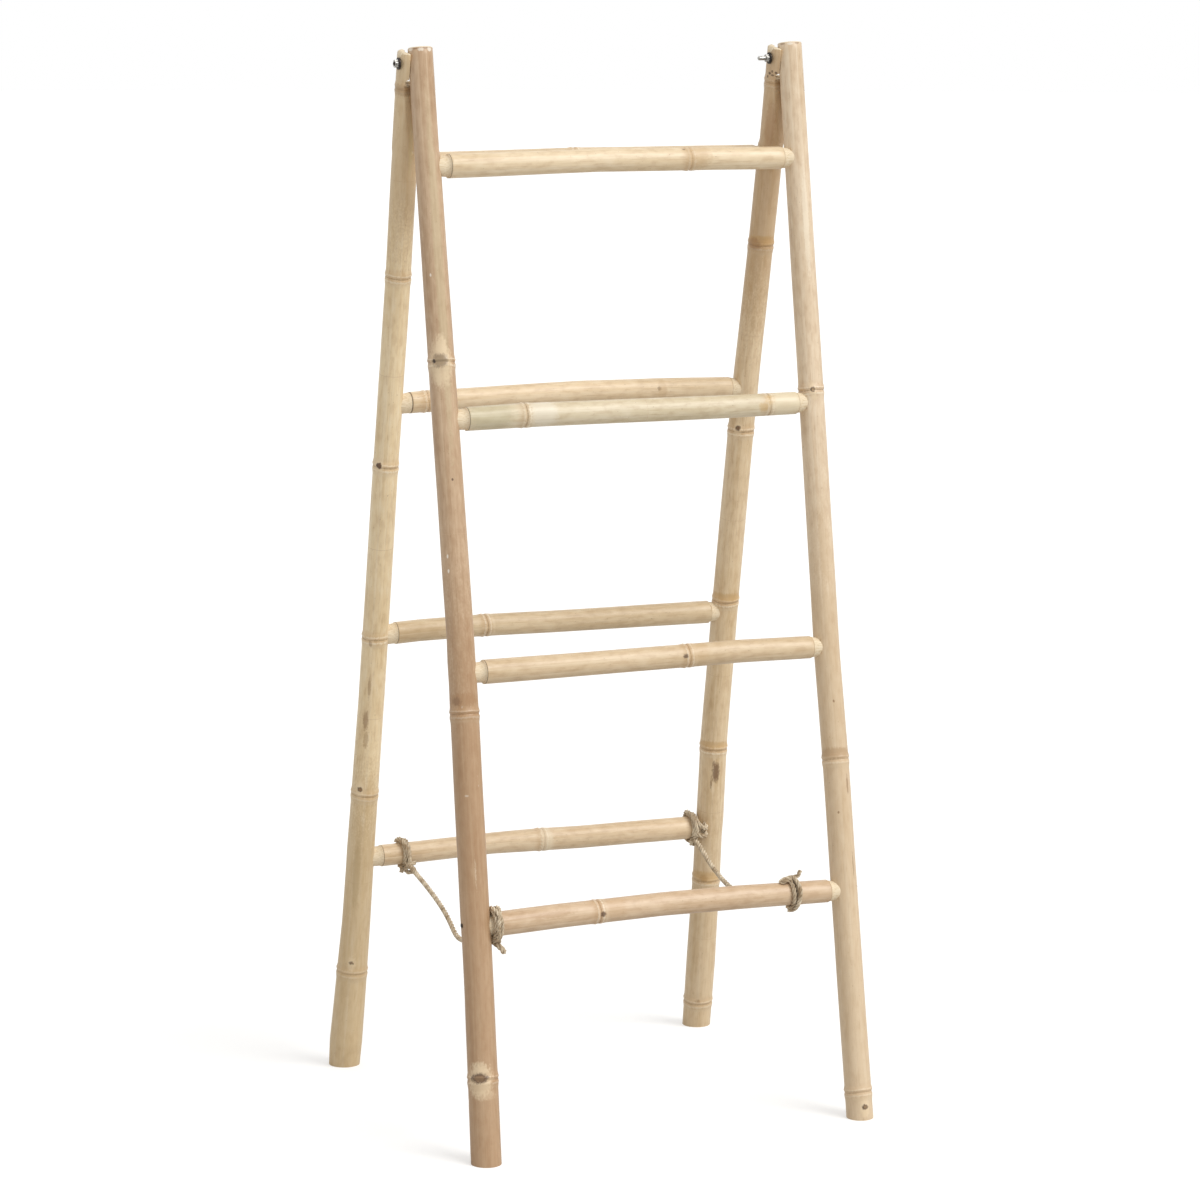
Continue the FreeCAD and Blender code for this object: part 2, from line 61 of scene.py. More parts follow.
camera.matrix_world = (Matrix.Translation(camera_place) @ aim
                       @ Matrix.Rotation(camera_roll, 4, "Z"))
bpy.context.scene.camera = camera

# The rope stays: three-strand jute cord, 6.5 mm thick, tied between the bottom rungs on each
# side so that the frames can't slide apart. They hang slack enough to droop.
seen_diameter = 0.0074      # with its loose fibres
lay_length = 0.021          # one full turn of a strand
strand_step = 0.0013        # between the points that a strand follows
strand_squeeze = 0.98       # of a round strand's thickness, pressed by the other two
fibre_chance = 0.5          # that a loose fibre stands at a point
fibre_lengths = (0.0010, 0.0023)
fibre_root = 0.00008        # a loose fibre's radius where it leaves the rope
fibre_tip = 0.00003
fibre_seat = 0.46           # of the rope's diameter, from its middle to a loose fibre's root
left_route = [(-0.2127, 0.1854, 0.3083), (-0.2139, 0.164, 0.305), (-0.2153, 0.1388, 0.3012),
              (-0.217, 0.1077, 0.2969), (-0.2188, 0.0767, 0.2917), (-0.2205, 0.0456, 0.2855),
              (-0.2221, 0.0165, 0.2781), (-0.2235, -0.0087, 0.2686), (-0.2246, -0.0282, 0.2581),
              (-0.2257, -0.0476, 0.2549), (-0.227, -0.0709, 0.2574), (-0.2285, -0.0981, 0.2639),
              (-0.2303, -0.1291, 0.2732), (-0.232, -0.1602, 0.2811), (-0.2333, -0.1835, 0.2859),
              (-0.2344, -0.2029, 0.2893)]
right_route = [(0.2393, 0.1874, 0.3043), (0.2376, 0.1685, 0.2998), (0.236, 0.1496, 0.2938),
               (0.2344, 0.1308, 0.2867), (0.2327, 0.1119, 0.2812), (0.2307, 0.0893, 0.2762),
               (0.2284, 0.0628, 0.271), (0.2258, 0.0327, 0.2677), (0.2228, -0.0013, 0.2689),
               (0.2196, -0.0391, 0.2751), (0.2163, -0.0768, 0.2828), (0.2133, -0.1108, 0.2905),
               (0.2107, -0.1409, 0.2968), (0.2084, -0.1674, 0.3018), (0.2064, -0.19, 0.3055)]


def linear(code):
    """A colour written as an sRGB hex value, in linear light."""
    parts = [int(code[i:i + 2], 16) / 255 for i in (1, 3, 5)]
    return [c / 12.92 if c <= 0.04045 else ((c + 0.055) / 1.055) ** 2.4 for c in parts] + [1.0]


def add(owner, kind, values=(), links=(), stops=(), **settings):
    """Add a shader node: its settings by name, its inputs' values and sources, a ramp's stops."""
    tree = owner.node_tree
    node = tree.nodes.new("ShaderNode" + kind)
    for setting, value in settings.items():
        setattr(node, setting, value)
    for socket, value in dict(values).items():
        node.inputs[socket].default_value = value
    for socket, source in dict(links).items():
        tree.links.new(source, node.inputs[socket])
    for number, (position, code) in enumerate(stops):
        node.color_ramp.elements[number].position = position
        node.color_ramp.elements[number].color = linear(code)
    return node


def new_material(name, roughness):
    material = bpy.data.materials.new(name)
    material.use_nodes = True
    shader = material.node_tree.nodes["Principled BSDF"]
    shader.inputs["Roughness"].default_value = roughness
    return material, shader


def new_piece(name, shape, *materials):
    """Make a shown object of a bmesh, at the origin."""
    mesh = bpy.data.meshes.new(name)
    shape.to_mesh(mesh)
    shape.free()
    for material in materials:
        mesh.materials.append(material)
    piece = bpy.data.objects.new(name, mesh)
    bpy.context.scene.collection.objects.link(piece)
    return piece


def drawn(points, order, diameter):
    """The mesh of a curve through points: a smooth line, or a round strand along a line."""
    curve = bpy.data.curves.new("line", "CURVE")
    curve.dimensions = "3D"
    curve.resolution_u = 24
    spline = curve.splines.new("NURBS" if order else "POLY")
    spline.points.add(len(points) - 1)
    for point, place in zip(spline.points, points):
        point.co = (*place, 1)
    if order:
        spline.order_u = order
        spline.use_endpoint_u = True
    curve.bevel_depth = diameter / 2
    curve.bevel_resolution = 2
    curve.use_fill_caps = True
    holder = bpy.data.objects.new("line", curve)
    mesh = bpy.data.meshes.new_from_object(holder)
    bpy.data.objects.remove(holder)
    bpy.data.curves.remove(curve)
    return mesh


def smooth_line(points):
    """Points along the smooth curve of a rope's route."""
    return [vertex.co.copy() for vertex in drawn(points, 3, 0).vertices]


def even(line, step):
    """The same line with its points a fixed step apart."""
    points = [line[0]]
    left = step
    for near, far in zip(line, line[1:]):
        length = (far - near).length
        while left <= length:
            points.append(near.lerp(far, left / length))
            left += step
        left -= length
    return points


def lay_rope(shape, line, diameter, draw):
    """Lay three strands round a line, with stray fibres standing off them."""
    strand = diameter / 2 / (1 + 2 / math.sqrt(3))
    offset = diameter / 2 - strand
    points = even(line, strand_step)
    side = (points[1] - points[0]).orthogonal().normalized()
    strands = [[], [], []]
    for number, point in enumerate(points):
        way = (points[min(number + 1, len(points) - 1)] - points[max(number - 1, 0)]).normalized()
        side = (side - way * side.dot(way)).normalized()
        other = way.cross(side)
        for place, strand_line in enumerate(strands):
            turn = 2 * math.pi * (place / 3 + number * strand_step / lay_length)
            strand_line.append(point + (side * math.cos(turn) + other * math.sin(turn)) * offset)
        if draw.random() < fibre_chance:
            turn = draw.random() * 2 * math.pi
            out = side * math.cos(turn) + other * math.sin(turn)
            lean = (out * 0.5 + way * draw.uniform(-1, 1)).normalized()
            length = draw.uniform(*fibre_lengths)
            middle = point + out * diameter * fibre_seat + lean * length / 2
            bmesh.ops.create_cone(shape, cap_ends=True, segments=3, radius1=fibre_root,
                                  radius2=fibre_tip, depth=length,
                                  matrix=Matrix.Translation(middle)
                                  @ lean.to_track_quat("Z", "Y").to_matrix().to_4x4())
    for strand_line in strands:
        shape.from_mesh(drawn(strand_line, 0, strand * 2 * strand_squeeze))


# Jute: soft, dull, grey beige plant fibre, twisted, so that shade shows between its strands.
# Its tone changes every 11 mm or so, and its fibres are drawn 0.7 mm wide, coarser than they
# are, so that they show.
jute, jute_shader = new_material("twisted_jute", 0.9)
jute_place = add(jute, "TexCoord").outputs["Object"]
jute_tone = add(jute, "TexNoise", {"Scale": 90, "Detail": 3}, {"Vector": jute_place})
jute_fibre = add(jute, "TexNoise", {"Scale": 1400, "Detail": 3}, {"Vector": jute_place})
jute_colour = add(jute, "ValToRGB", (), {"Fac": jute_tone.outputs["Fac"]},
                  ((0.32, "#9E8769"), (0.68, "#DFD0B6")))
jute_mix = add(jute, "Mix", {"Factor": 0.55}, {"A": jute_colour.outputs["Color"],
               "B": jute_fibre.outputs["Fac"]}, data_type="RGBA", blend_type="OVERLAY")
jute_bump = add(jute, "Bump", {"Strength": 0.5, "Distance": 0.0004},
                {"Height": jute_fibre.outputs["Fac"]})
jute.node_tree.links.new(jute_mix.outputs["Result"], jute_shader.inputs["Base Color"])
jute.node_tree.links.new(jute_bump.outputs["Normal"], jute_shader.inputs["Normal"])

for name, route, length in (("left_rope", left_route, 0.400), ("right_rope", right_route, 0.387)):
    line = smooth_line(route)
    shape = bmesh.new()
    lay_rope(shape, line, seen_diameter, random.Random(name))
    rope = new_piece(name + "_strands", shape, jute)
    rope.data.shade_smooth()
    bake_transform(rope)
    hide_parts(name)

# The knots that tie the stays to the bottom rungs: the same cord, drawn tight, wrapped round
# the rung and crossed over itself, with its end left as a short tail.
tight_diameter = 0.0062
wrap_step = 30              # degrees between the points that a wrap follows
wrap_gap = 0.0001           # between a rung and the cord round it


def wrap(centre, radius, rows):
    """A line wound round a rung from rows of place along it, turn and lift, in mm and degrees.

    Turn 0 is on top of the rung and 90 at its front."""
    reach = radius / math.cos(math.radians(wrap_step / 2)) + wrap_gap
    points = []
    for (x, turn, lift), (next_x, next_turn, next_lift) in zip(rows, rows[1:]):
        count = max(1, round(abs(next_turn - turn) / wrap_step))
        for step in range(count):
            part = step / count
            angle = math.radians(turn + part * (next_turn - turn))
            out = reach + (lift + part * (next_lift - lift)) * 0.001
            points.append(centre + Vector(((x + part * (next_x - x)) * 0.001,
                                           -math.sin(angle) * out, math.cos(angle) * out)))
    x, turn, lift = rows[-1]
    out = reach + lift * 0.001
    points.append(centre + Vector((x * 0.001, -math.sin(math.radians(turn)) * out,
                                   math.cos(math.radians(turn)) * out)))
    return points


def knot(name, body, node, centre, rung_radius, wraps, loose):
    """Tie a knot: wraps round the rung, and loose parts given in mm from its middle.

    A loose part starts with how thick it is against the tight cord."""
    shape = bmesh.new()
    draw = random.Random(name)
    middle = Vector(centre)
    radius = rung_radius + tight_diameter / 2
    for rows in wraps:
        lay_rope(shape, smooth_line(wrap(middle, radius, rows)), tight_diameter, draw)
    for thickness, points in loose:
        places = [middle + Vector(point) * 0.001 for point in points]
        lay_rope(shape, smooth_line(places), tight_diameter * thickness, draw)
    tied = new_piece(name, shape, jute)
    tied.data.shade_smooth()
    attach(tied, body)
    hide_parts(node)


knot("rear_left_knot", "rear_frame", "rear_left_lashing", (-0.2127, 0.2060, 0.3202), 0.0155,
     [[(-5, 200, 0), (-4, 90, 0), (-4, -90, 0), (-1, -180, 0), (2, -270, 0.5), (3, -450, 0),
       (2, -530, 0)],
      [(5, 190, 1), (2, 120, 5), (-3, 60, 5), (-6, 10, 4), (-8, -40, 1)]],
     [(1.1, [(-4, -17, -9), (0, -23, -14), (6, -25, -17), (8, -22, -22), (3, -18, -25),
             (-3, -17, -23), (-5, -20, -17), (-1, -25, -12), (5, -26, -11), (9, -22, -9)]),
      (1, [(-6, -14, -16), (-9, -12, -22), (-6, -8, -25), (-2, -6, -22)])])
knot("front_left_knot", "front_frame", "front_left_lashing", (-0.2385, -0.2121, 0.3146), 0.0168,
     [[(-4, 220, 0), (-4, 90, 0), (-3, -90, 0), (0, -180, 0), (3, -270, 0), (3, -450, 0),
       (0, -540, 0.5)],
      [(-4, 170, 2), (2, 110, 5), (3, 70, 5), (-3, 20, 4), (-5, -40, 2)],
      [(4, 160, 4), (-2, 120, 6), (-4, 90, 6), (1, 50, 6), (5, 15, 4), (4, -60, 1)]],
     [(1.35, [(-4, 6, -22), (-1, -4, -24), (2, -9, -27), (7, -11, -32), (11, -11, -38)])])
knot("rear_right_knot", "rear_frame", "rear_right_lashing", (0.2423, 0.2062, 0.3190), 0.0167,
     [[(-5, 210, 0), (-5, 90, 0), (-5, -90, 0), (-2, -180, 0), (1, -270, 0.5), (2, -450, 0),
       (1, -530, 0)],
      [(-6, 150, 2), (-2, 90, 5), (-6, 40, 5), (-7, -10, 4), (-3, -60, 1)]],
     [(1.1, [(1, -20, 10), (5, -25, 6), (10, -25, 2), (14, -21, 2), (15, -17, 6), (12, -14, 9)]),
      (1.1, [(-4, -22, -4), (2, -27, -8), (9, -27, -9), (14, -22, -7), (13, -17, -3),
             (7, -17, -2)]),
      (1, [(-5, -14, -17), (-7, -10, -22), (-2, -7, -24), (3, -12, -23), (2, -17, -17)])])
knot("front_right_knot", "front_frame", "front_right_lashing", (0.2051, -0.2119, 0.3157), 0.0162,
     [[(-3, 200, 0), (-4, 90, 0), (-3, -90, 0), (0, -180, 0), (3, -270, 0), (4, -450, 0),
       (0, -540, 0.5)],
      [(-4, 180, 3), (0, 120, 5), (4, 70, 5), (1, 20, 5), (-2, -40, 2)]],
     [(1, [(-2, -6, 21), (-8, -7, 22), (-14, -8, 20), (-18, -3, 18), (-15, 2, 19), (-6, 2, 22),
           (2, -2, 24), (5, -6, 20)]),
      (1, [(-1, 2, 22), (4, 0, 24), (8, -3, 24), (10, -4, 29), (12, -4, 33)])])

# The bamboo poles and rungs: whole culms, sanded and thinly waxed, so that their fibres, node
# rings, bud scars and stains show. Ends and joints are cut bare and look cream and dull.
# Each keeps its CAD form and gets finer rings, lumps and scars.
hinge = Vector((0, -0.0077, 1.458))
# Each frame's lean, how far behind the hinge its axes lie before it leans (less than 0 is in
# front), and how far its poles reach past the hinge.
frames = {"front": (math.radians(-9.8), -0.0068, 0.020),
          "rear": (math.radians(10.4), 0.0048, 0.015)}
straight_length = 0.1175    # below the hinge the poles are straight and evenly thick this far
planed_from = 0.041         # the long planed flats start this far from a pole's top
inside_radius = 0.0115      # nearer to the axis is the culm's inside
tenon_radius = 0.0138       # of the whittled ends that show beside the poles
skin_depth = 0.0005         # faces no deeper than this, and facing outwards, are skin
skin_slant = 0.75           # the least cosine between such a face's normal and the way out
flat_slant = 0.9            # the same for the planed flats, which face front or back
round_error = 0.0003        # how far the skin's points lie from a round culm at most
cut_step = 0.012            # plain lengths of culm are cut this short
ring_cuts = (-14, -10, -7, -5, -3.6, -2.8, -2, -1.2, -0.4, 0.4, 1, 1.6, 2.2, 3, 4, 5.6, 7, 9.5,
             13.6, 18)      # mm from a node
# In mm from a node, breadth and height: a groove where the sheath sat, and a ridge above it.
ring_forms = ((1.3, 0.7, -0.4), (-2, 0.9, 0.25))
# Rings aren't level. How far they stray, in waves round the culm, which turn along it.
ring_waves = ((0.0007, 1, 40), (0.0003, 3, 90))
bud_forms = ((0.6, 1.1), (0.25, -1.1))      # breadth in bud widths, mm: a swelling with a pit
lump_height = 0.3           # mm
lumps_across = 50           # to the metre
lumps_along = 9


def between(table, place, column):
    """Read a table at any place, in straight lines between its rows."""
    if place <= table[0][0]:
        return table[0][column]
    for low, high in zip(table, table[1:]):
        if place <= high[0]:
            part = (place - low[0]) / (high[0] - low[0])
            return low[column] + part * (high[column] - low[column])
    return table[-1][column]


def culm(node, body, home, set_back, nodes, skin_range, straight, tenons, buds, materials):
    """Dress one CAD culm. home turns a place in the frame into two sideways and one lengthways.

    nodes are the places of its node rings, skin_range where its skin begins and ends, straight
    how far it keeps its form, tenons where whittled ends show, buds its raised scars."""
    name = node + "_culm"
    shape = bmesh.new()
    shape.from_mesh(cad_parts[node].data)
    bmesh.ops.remove_doubles(shape, verts=shape.verts, dist=1e-6)

    # Its middle and half width at each ring of points show how it bends and tapers.
    levels = {}
    for vertex in shape.verts:
        a, b, s = home @ vertex.co
        levels.setdefault(round(s, 4), []).append(a)
    profile = []
    for s, values in sorted(levels.items()):
        middle = (max(values) + min(values)) / 2
        half = (max(values) - min(values)) / 2
        if len(values) > 20 and half > inside_radius and s > straight:     # a whole ring of skin
            profile.append((s, middle, half))

    # It is cut across finely at its nodes, where the skin changes form most.
    away = home.inverted()
    axis = (away.to_3x3() @ Vector((0, 0, 1))).normalized()
    low_end = min(levels)
    high_end = max(levels)
    cuts = [low_end + cut_step * n for n in range(1, int((high_end - low_end) / cut_step))]
    cuts = [c for c in cuts if all(not ring_cuts[0] < (c - ring) * 1000 < ring_cuts[-1]
                                   for ring in nodes)]
    cuts += [ring + step * 0.001 for ring in nodes for step in ring_cuts]
    for cut in sorted(cuts):
        if low_end < cut < high_end:
            parts = shape.verts[:] + shape.edges[:] + shape.faces[:]
            bmesh.ops.bisect_plane(shape, geom=parts, dist=1e-6, plane_no=axis,
                                   plane_co=away @ Vector((0, 0, cut)))

    # Skin, and the waxed flats below the hinge, take the first material, bare cuts the second.
    for face in shape.faces:
        a, b, s = home @ face.calc_center_median()
        out = Vector((a - between(profile, s, 1), b - set_back, 0))
        normal = (home.to_3x3() @ face.normal).normalized()
        on_skin = (out.length > between(profile, s, 2) - skin_depth
                   and abs(normal.dot(out.normalized())) > skin_slant)
        planed = planed_from < s < straight and abs(normal.y) > flat_slant
        in_range = skin_range[0] < s < skin_range[1]
        face.material_index = 0 if in_range and (on_skin or planed) else 1

    # Each point keeps its place from the culm's axis and from the nearest node for the
    # materials. Then tenons get their whittled thickness, and the skin a groove below each
    # node and a ridge above it, a rim and a pit at each bud, and slow lumps.
    place_layer = shape.verts.layers.float_vector.new("culm")
    ring_layer = shape.verts.layers.float.new("ring")
    lumps_place = hinge * len(name)     # lumps come from another part of the noise on each
    for vertex in shape.verts:
        a, b, s = home @ vertex.co
        middle = between(profile, s, 1)
        full = between(profile, s, 2)
        out = Vector((a - middle, b - set_back, 0))
        turn = math.atan2(out.y, out.x)
        wobble = sum(height * math.sin(waves * turn + s * drift)
                     for height, waves, drift in ring_waves)
        ring = min((s - place for place in nodes), key=abs, default=1.0) + wobble
        vertex[place_layer] = (out.x, out.y, s)
        vertex[ring_layer] = ring
        if any(low < s < high for low, high in tenons) and out.length > inside_radius:
            target = out * (tenon_radius / out.length)
            vertex.co = away @ Vector((target.x + middle, target.y + set_back, s))
        if abs(out.length - full) > round_error or not skin_range[0] < s < skin_range[1]:
            continue
        swell = sum(height * math.exp(-((ring * 1000 - centre) / breadth) ** 2)
                    for centre, breadth, height in ring_forms)
        for place, outward, wide in buds:
            reach = (Vector((out.x, out.y, s)) - Vector((*(outward * full), place))).length / wide
            swell += sum(height * math.exp(-(reach / breadth) ** 2)
                         for breadth, height in bud_forms)
        if s > straight:
            place = Vector((out.x * lumps_across, out.y * lumps_across, s * lumps_along))
            swell += lump_height * noise.noise(place + lumps_place)
        target = out * ((out.length + swell * 0.001) / out.length)
        vertex.co = away @ Vector((target.x + middle, target.y + set_back, s))

    piece = new_piece(name, shape, *materials)
    piece.data.shade_smooth()
    piece.data.set_sharp_from_angle(angle=math.radians(38))
    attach(piece, body)
    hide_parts(node)
    return piece


def facing(view, degrees):
    """The way out of a culm, so many degrees round from where the camera looks at it."""
    angle = math.radians(degrees)
    return view[0] * math.cos(angle) + view[1] * math.sin(angle)


def bamboo(name, skin, deep, pale, view, marks, lines=()):
    """Waxed bamboo skin: fibres along the culm, slow stains, darker rings and its own marks.

    A mark is (mm along, degrees round, length, width, colour, strength), a line round the culm
    (mm along, width, colour, strength)."""
    material, shader = new_material(name, 0.43)
    shader.inputs["Coat Weight"].default_value = 0.12
    shader.inputs["Coat Roughness"].default_value = 0.3
    links = material.node_tree.links
    place = add(material, "Attribute", attribute_name="culm").outputs["Vector"]
    ring = add(material, "Attribute", attribute_name="ring").outputs["Fac"]
    # How many to the metre, across and along: fibres are drawn 0.7 mm wide and 45 mm long,
    # streaks 4 mm and 330 mm, stains 25 mm and 170 mm, mottle 7 mm and 17 mm.
    grain = {}
    for kind, across, along, detail in (("fibres", 1500, 22, 4), ("streaks", 240, 3, 2),
                                        ("stains", 40, 6, 3), ("mottle", 150, 60, 3),
                                        ("specks", 420, 240, 2), ("ragged", 420, 260, 4)):
        scaled = add(material, "Mapping", {"Scale": (across, across, along)}, {"Vector": place})
        grain[kind] = add(material, "TexNoise", {"Scale": 1.0, "Detail": detail},
                          {"Vector": scaled.outputs["Vector"]}).outputs["Fac"]

    # Each layer tints what is under it where its source goes from one value to the other.
    off_ring = add(material, "Math", (), {0: ring}, operation="ABSOLUTE").outputs["Value"]
    layers = [(grain["stains"], 0.32, 0.68, 0.85, deep, "MIX"),
              (grain["streaks"], 0.48, 0.75, 0.45, pale, "MIX"),
              (grain["fibres"], 0.46, 0.25, 0.45, "#B59A76", "MULTIPLY"),
              (grain["mottle"], 0.5, 0.35, 0.2, "#C2A685", "MULTIPLY"),
              (grain["mottle"], 0.55, 0.75, 0.3, pale, "MIX"),
              (grain["specks"], 0.70, 0.76, 0.45, "#8A6A48", "MIX"),
              (off_ring, 0.014, 0.003, 0.35, "#B98F5E", "MIX")]
    # Ragged bands at a node: the brown sheath line, then pale wood on both sides of it.
    for offset, half, rough, shade, strength in ((-0.0015, 0.0016, 1.6, "#7A5836", 0.5),
                                                 (0.0026, 0.0026, 2.2, "#F6EAD2", 0.4),
                                                 (-0.006, 0.003, 2.2, "#F6EAD2", 0.5),
                                                 (-0.0105, 0.006, 1.0, "#E6D6B8", 0.25)):
        shifted = add(material, "Math", {1: offset}, {0: ring}, operation="ADD").outputs["Value"]
        off = add(material, "Math", (), {0: shifted}, operation="ABSOLUTE").outputs["Value"]
        reach = add(material, "Math", {1: 1 / half}, {0: off},
                    operation="MULTIPLY").outputs["Value"]
        edge = add(material, "Math", {1: rough}, {0: grain["ragged"], 2: reach},
                   operation="MULTIPLY_ADD").outputs["Value"]
        layers.append((edge, 0.6 + rough * 0.5, 0.1 + rough * 0.5, strength, shade, "MIX"))
    # A mark is an oval on the skin, 18 mm from the culm's axis. It fades where the distance from
    # its middle, in half widths, and the ragged noise add up to between 1.2 and 1.65.
    for along, turn, length, width, shade, strength in marks:
        out = facing(view, turn) * 0.018
        gap = add(material, "VectorMath", {1: (out.x, out.y, along * 0.001)}, {0: place},
                  operation="SUBTRACT")
        gap = add(material, "VectorMath", {1: (2000 / width, 2000 / width, 2000 / length)},
                  {0: gap.outputs["Vector"]}, operation="MULTIPLY")
        gap = add(material, "VectorMath", (), {0: gap.outputs["Vector"]}, operation="LENGTH")
        edge = add(material, "Math", (), {0: gap.outputs["Value"], 1: grain["ragged"]},
                   operation="ADD")
        layers.append((edge.outputs["Value"], 1.65, 1.2, strength, shade, "MIX"))
    for along, width, shade, strength in lines:
        s = add(material, "SeparateXYZ", (), {"Vector": place}).outputs["Z"]
        off = add(material, "Math", {1: -along * 0.001}, {0: s}, operation="ADD").outputs["Value"]
        off = add(material, "Math", (), {0: off}, operation="ABSOLUTE").outputs["Value"]
        layers.append((off, width * 0.001, width * 0.0003, strength, shade, "MIX"))

    colour = add(material, "RGB").outputs["Color"]
    colour.default_value = linear(skin)
    for source, low, high, strength, shade, blend in layers:
        factor = add(material, "MapRange", {"From Min": low, "From Max": high, "To Max": strength},
                     {"Value": source}).outputs["Result"]
        colour = add(material, "Mix", {"B": linear(shade)}, {"Factor": factor, "A": colour},
                     data_type="RGBA", blend_type=blend).outputs["Result"]
    rough = add(material, "MapRange", {"From Min": 0.3, "From Max": 0.7, "To Min": 0.38,
                "To Max": 0.5}, {"Value": grain["streaks"]})
    bump = add(material, "Bump", {"Strength": 0.25, "Distance": 0.0003},
               {"Height": grain["fibres"]})
    links.new(colour, shader.inputs["Base Color"])
    links.new(rough.outputs["Result"], shader.inputs["Roughness"])
    links.new(bump.outputs["Normal"], shader.inputs["Normal"])
    return material


# Sawn and whittled bamboo: bare, matt and cream, with the brown dots and lines of its fibre
# bundles, 0.8 mm wide and 26 mm long.
cut_bamboo, cut_shader = new_material("cut_bamboo", 0.75)
cut_place = add(cut_bamboo, "Attribute", attribute_name="culm").outputs["Vector"]
cut_scale = add(cut_bamboo, "Mapping", {"Scale": (1, 1, 0.03)}, {"Vector": cut_place})
cut_grain = add(cut_bamboo, "TexNoise", {"Scale": 1300, "Detail": 3},
                {"Vector": cut_scale.outputs["Vector"]})
cut_colour = add(cut_bamboo, "ValToRGB", (), {"Fac": cut_grain.outputs["Fac"]},
                 ((0.33, "#D3BC96"), (0.55, "#EAD9BC")))
cut_bump = add(cut_bamboo, "Bump", {"Strength": 0.3, "Distance": 0.0003},
               {"Height": cut_grain.outputs["Fac"]})
cut_bamboo.node_tree.links.new(cut_colour.outputs["Color"], cut_shader.inputs["Base Color"])
cut_bamboo.node_tree.links.new(cut_bump.outputs["Normal"], cut_shader.inputs["Normal"])

# The marks' common colours, and the sides of poles and rungs that the camera sees.
scar = "#4F3420"
stain = "#8C6B48"
bloom = "#E6CFAB"
fleck = "#F4ECDC"
dirt = "#8A6748"
amber = "#C09858"
pole_view = (Vector((-0.392, -0.920)), Vector((0.920, -0.392)))
rung_view = (Vector((0.17, -0.985)), Vector((0.985, 0.17)))


def bud(along, turn, wide, tall, rim, face):
    """The marks of a bud scar: pale skin round it, a dark rim, its worn face and a pit."""
    return [(along + tall * 0.2, turn, tall * 3.4, wide * 1.5, bloom, 0.6),
            (along, turn, tall, wide, scar, rim),
            (along, turn + 1, tall * 0.66, wide * 0.7, face, 0.9),
            (along, turn - wide * 1.1, tall * 0.35, wide * 0.2, "#35241A", 0.9)]


